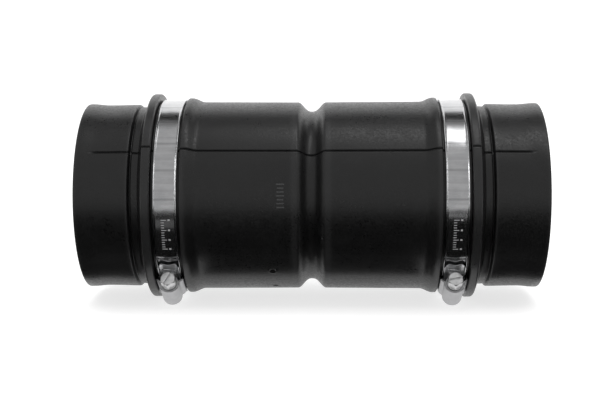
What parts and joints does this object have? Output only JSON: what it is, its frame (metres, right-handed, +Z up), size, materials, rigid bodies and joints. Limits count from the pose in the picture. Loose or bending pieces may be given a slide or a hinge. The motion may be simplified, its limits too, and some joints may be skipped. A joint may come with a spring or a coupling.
{
  "type": "pipe coupling",
  "caption": "Flexible rubber sleeve coupling that joins pipes end to end, with stainless worm-drive clamps seated between its flanges and lips.",
  "frame": {"origin": "middle of the sleeve, on the axis of its bore", "axes": "+X along the bore towards the right-hand socket; +Z up, with the part lying on its outer flanges and screw housings; the clamp screws are on the -Y side"},
  "size_m": [0.2342, 0.107, 0.107],
  "materials": {
    "black_rubber": "matte",
    "stainless_strip": "polished",
    "stainless_housing": "satin",
    "screw_steel": "satin"
  },
  "bodies": {
    "sleeve": {"rubber_sleeve": "black_rubber"},
    "left_clamp": {"left_clamp_strip": "stainless_strip", "left_clamp_housing": "stainless_housing"},
    "left_screw": {"left_clamp_screw": "screw_steel"},
    "left_threaded_end": {"left_clamp_threaded_end": "stainless_strip"},
    "right_clamp": {"right_clamp_strip": "stainless_strip", "right_clamp_housing": "stainless_housing"},
    "right_screw": {"right_clamp_screw": "screw_steel"},
    "right_threaded_end": {"right_clamp_threaded_end": "stainless_strip"}
  },
  "joints": [
    {"name": "left_clamp_swivel", "type": "hinge", "parent": "sleeve", "child": "left_clamp", "pos_m": [-0.0716, 0, 0], "axis": [1, 0, 0], "continuous": true},
    {"name": "left_screw_turn", "type": "hinge", "parent": "left_clamp", "child": "left_screw", "pos_m": [-0.0716, -0.03132, -0.04473], "axis": [0, 0.8192, -0.5736], "range_deg": [-540, 1260]},
    {"name": "left_strip_feed", "type": "hinge", "parent": "left_clamp", "child": "left_threaded_end", "pos_m": [-0.0716, 0, 0], "axis": [-1, 0, 0], "range_deg": [-5.05, 11.79]},
    {"name": "right_clamp_swivel", "type": "hinge", "parent": "sleeve", "child": "right_clamp", "pos_m": [0.0716, 0, 0], "axis": [1, 0, 0], "continuous": true},
    {"name": "right_screw_turn", "type": "hinge", "parent": "right_clamp", "child": "right_screw", "pos_m": [0.0716, -0.03132, -0.04473], "axis": [0, 0.8192, -0.5736], "range_deg": [-540, 1260]},
    {"name": "right_strip_feed", "type": "hinge", "parent": "right_clamp", "child": "right_threaded_end", "pos_m": [0.0716, 0, 0], "axis": [-1, 0, 0], "range_deg": [-5.05, 11.79]}
  ],
  "couplings": [
    {"joint": "left_screw_turn", "follows": "left_strip_feed", "ratio": 106.81},
    {"joint": "right_screw_turn", "follows": "right_strip_feed", "ratio": 106.81}
  ]
}
